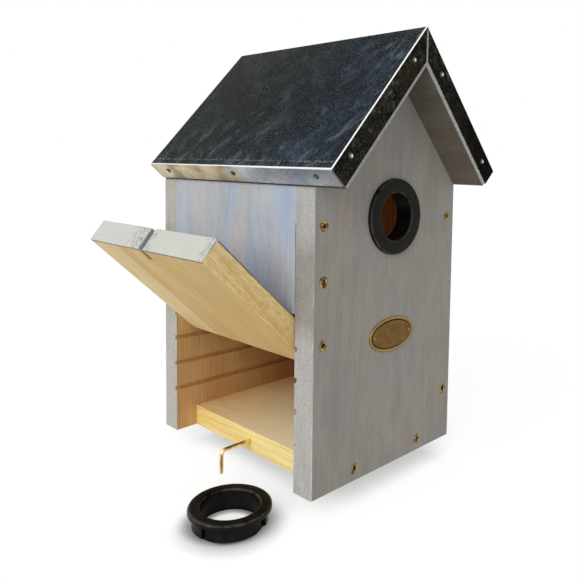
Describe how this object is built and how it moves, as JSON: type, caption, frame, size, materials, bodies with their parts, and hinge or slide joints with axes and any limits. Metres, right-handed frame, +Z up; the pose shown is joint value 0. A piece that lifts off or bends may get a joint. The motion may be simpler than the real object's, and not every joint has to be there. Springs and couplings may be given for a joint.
{
  "type": "nest box",
  "caption": "Wooden nest box for small birds with a folded zinc roof, a swing-up side door held by a turn hook, a snap-in entrance ring and a spare ring.",
  "frame": {"origin": "on the back face of the back board, mid-width, at its bottom edge", "axes": "+X to the right as seen from the front, +Y to the back into the wall or trunk that carries the box, +Z up"},
  "size_m": [0.193, 0.1735, 0.276],
  "materials": {
    "glazed_wood": "grey-blue wood glaze, matt",
    "glazed_panel": "light grey-blue wood glaze, matt",
    "pine": "planed pine, untreated",
    "zinc_sheet": "spangled galvanised sheet",
    "black_plastic": "moulded, satin",
    "brass": "drawn or pressed, gone dull",
    "screw_steel": "yellow zinc plated",
    "nail_steel": "galvanised"
  },
  "bodies": {
    "box": {"front_wall": "glazed_wood", "back_wall": "glazed_wood", "right_wall": "glazed_panel", "upper_left_panel": "glazed_panel", "floor_board": "pine", "left_roof_board": "glazed_wood", "right_roof_board": "glazed_wood", "roof_sheet": "zinc_sheet", "entrance_ring": "black_plastic", "spare_ring": "black_plastic", "front_pivot_screw": "screw_steel", "back_pivot_screw": "screw_steel", "front_panel_screws": "screw_steel", "back_panel_screws": "screw_steel", "front_wall_screws": "screw_steel", "back_wall_screws": "screw_steel", "front_floor_screws": "screw_steel", "back_floor_screws": "screw_steel", "front_left_nails": "nail_steel", "front_right_nails": "nail_steel", "left_eave_nails": "nail_steel", "right_eave_nails": "nail_steel"},
    "door": {"door": "pine"},
    "hook": {"turn_hook": "brass"}
  },
  "joints": [
    {"name": "door_hinge", "type": "hinge", "parent": "box", "child": "door", "pos_m": [-0.05525, -0.0745, 0.0845], "axis": [0, 1, 0], "range_deg": [-133.1, 2]},
    {"name": "hook_turn", "type": "hinge", "parent": "box", "child": "hook", "pos_m": [-0.0475, -0.0748, 0.0067], "axis": [1, 0, 0], "range_deg": [-90, 90]}
  ]
}
